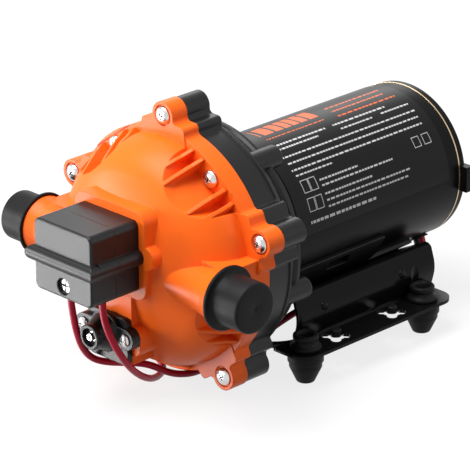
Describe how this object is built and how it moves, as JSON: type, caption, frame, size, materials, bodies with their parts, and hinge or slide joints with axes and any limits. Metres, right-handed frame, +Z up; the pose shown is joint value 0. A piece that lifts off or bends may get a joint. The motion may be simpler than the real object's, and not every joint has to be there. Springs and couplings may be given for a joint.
{
  "type": "caravan water pump",
  "caption": "Twelve volt diaphragm water pump with domed head, round motor and pressure switch on a sheet bracket with rubber feet.",
  "frame": {"origin": "centre of the four foot bolts, on the surface that the rubber feet stand on", "axes": "+X towards the outlet port, +Y along the shaft towards the back of the motor, +Z up"},
  "size_m": [0.1478, 0.2165, 0.1282],
  "materials": {
    "orange_plastic": "satin moulded plastic",
    "black_plastic": "satin moulded plastic",
    "clear_plastic": "natural moulded plastic",
    "rubber": "matt rubber",
    "seal_rubber": "matt rubber",
    "screw_steel": "bright stainless",
    "steel": "ground steel",
    "spring_steel": "drawn wire",
    "motor_paint": "semi-gloss black paint",
    "bracket_paint": "gloss black paint",
    "pale_ring": "bare edge",
    "label_film": "printed film",
    "magnet": "sintered ferrite",
    "iron": "laminated iron",
    "copper": "enamelled copper",
    "brass": "machined brass",
    "carbon": "carbon",
    "die_cast": "die cast",
    "red_wire": "glossy insulation",
    "black_wire": "glossy insulation"
  },
  "bodies": {
    "pump": {"upper_housing": "orange_plastic", "valve_plate": "clear_plastic", "inlet_valves": "seal_rubber", "outlet_valve": "seal_rubber", "head_seal": "seal_rubber", "diaphragm": "seal_rubber", "lower_housing": "black_plastic", "housing_screws": "screw_steel", "chamber_screws": "screw_steel", "switch_cover": "black_plastic", "switch_base": "black_plastic", "switch_diaphragm": "seal_rubber", "switch_spring": "spring_steel", "microswitch": "black_plastic", "small_screws": "screw_steel", "bypass_plate": "black_plastic", "bypass_body": "black_plastic", "bypass_spring": "spring_steel", "motor_can": "motor_paint", "motor_front_plate": "die_cast", "motor_rear_cap": "motor_paint", "rear_cap_ring": "pale_ring", "magnets": "magnet", "bearing_outer_races": "steel", "brush_plate": "clear_plastic", "brushes": "carbon", "brush_springs": "spring_steel", "motor_bolts": "screw_steel", "motor_label": "label_film", "lead_grommet": "rubber", "base_bracket": "bracket_paint", "motor_saddle": "black_plastic", "bracket_screws": "screw_steel", "rubber_feet": "rubber", "slot_pegs": "rubber", "motor_lead": "red_wire", "supply_lead_red": "red_wire", "supply_lead_black": "black_wire"},
    "rotor": {"rotor_core": "iron", "rotor_winding": "copper", "commutator": "copper", "motor_shaft": "steel", "bearing_inner_races": "steel", "eccentric_cam": "die_cast", "wobble_bearing_inner": "steel"},
    "wobble": {"wobble_plate": "black_plastic", "wobble_bearing_outer": "steel", "wobble_bearing_balls": "steel", "inner_pistons": "clear_plastic", "diaphragm_discs": "seal_rubber", "piston_screws": "screw_steel"},
    "inlet_plug": {"inlet_cap": "rubber"},
    "outlet_plug": {"outlet_cap": "rubber"},
    "poppet": {"bypass_poppet": "clear_plastic"},
    "bypass_seat": {"bypass_spring_seat": "brass"},
    "bypass_screw": {"bypass_adjust_screw": "screw_steel"},
    "plunger": {"switch_plunger": "clear_plastic"},
    "lever": {"switch_lever": "clear_plastic"},
    "spring_cup": {"switch_spring_cup": "brass"},
    "adjuster": {"switch_adjust_screw": "screw_steel"}
  },
  "joints": [
    {"name": "rotor_spin", "type": "hinge", "parent": "pump", "child": "rotor", "pos_m": [0, 0, 0.061], "axis": [0, 1, 0], "continuous": true},
    {"name": "wobble_rock", "type": "hinge", "parent": "rotor", "child": "wobble", "pos_m": [0, -0.0565, 0.061], "axis": [0, 0.9986, 0.0523], "continuous": true},
    {"name": "inlet_cap_pull", "type": "slide", "parent": "pump", "child": "inlet_plug", "axis": [-1, 0, 0], "range_m": [0, 0.09]},
    {"name": "outlet_cap_pull", "type": "slide", "parent": "pump", "child": "outlet_plug", "axis": [1, 0, 0], "range_m": [0, 0.09]},
    {"name": "bypass_lift", "type": "slide", "parent": "pump", "child": "poppet", "axis": [0, -1, 0], "range_m": [0, 0.001], "stiffness_N_per_m": 1500, "springref_m": -0.002, "deforming": ["bypass_spring"]},
    {"name": "bypass_seat_slide", "type": "slide", "parent": "pump", "child": "bypass_seat", "axis": [0, 1, 0], "range_m": [-0.0006, 0.0006], "deforming": ["bypass_spring"]},
    {"name": "bypass_screw_turn", "type": "hinge", "parent": "bypass_seat", "child": "bypass_screw", "pos_m": [0, -0.12, 0.033], "axis": [0, 1, 0], "range_deg": [-270, 270]},
    {"name": "lever_swing", "type": "hinge", "parent": "pump", "child": "lever", "pos_m": [0, -0.1184, 0.0826], "axis": [-1, 0, 0], "range_deg": [0, 3.7], "stiffness_Nm_per_rad": 0.9, "springref_deg": -5.73, "deforming": ["switch_spring"]},
    {"name": "plunger_slide", "type": "slide", "parent": "pump", "child": "plunger", "axis": [0, -1, 0], "range_m": [0, 0.00067]},
    {"name": "spring_cup_slide", "type": "slide", "parent": "pump", "child": "spring_cup", "axis": [0, 1, 0], "range_m": [0, 0.0007], "deforming": ["switch_spring"]},
    {"name": "switch_screw_turn", "type": "hinge", "parent": "spring_cup", "child": "adjuster", "pos_m": [0, -0.133, 0.0608], "axis": [0, 1, 0], "range_deg": [0, 360]}
  ],
  "couplings": [
    {"joint": "wobble_rock", "follows": "rotor_spin", "ratio": -1},
    {"joint": "bypass_screw_turn", "follows": "bypass_seat_slide", "rad_per_m": 7853.9},
    {"joint": "lever_swing", "follows": "plunger_slide", "rad_per_m": 96.15},
    {"joint": "switch_screw_turn", "follows": "spring_cup_slide", "rad_per_m": 8975.9}
  ]
}
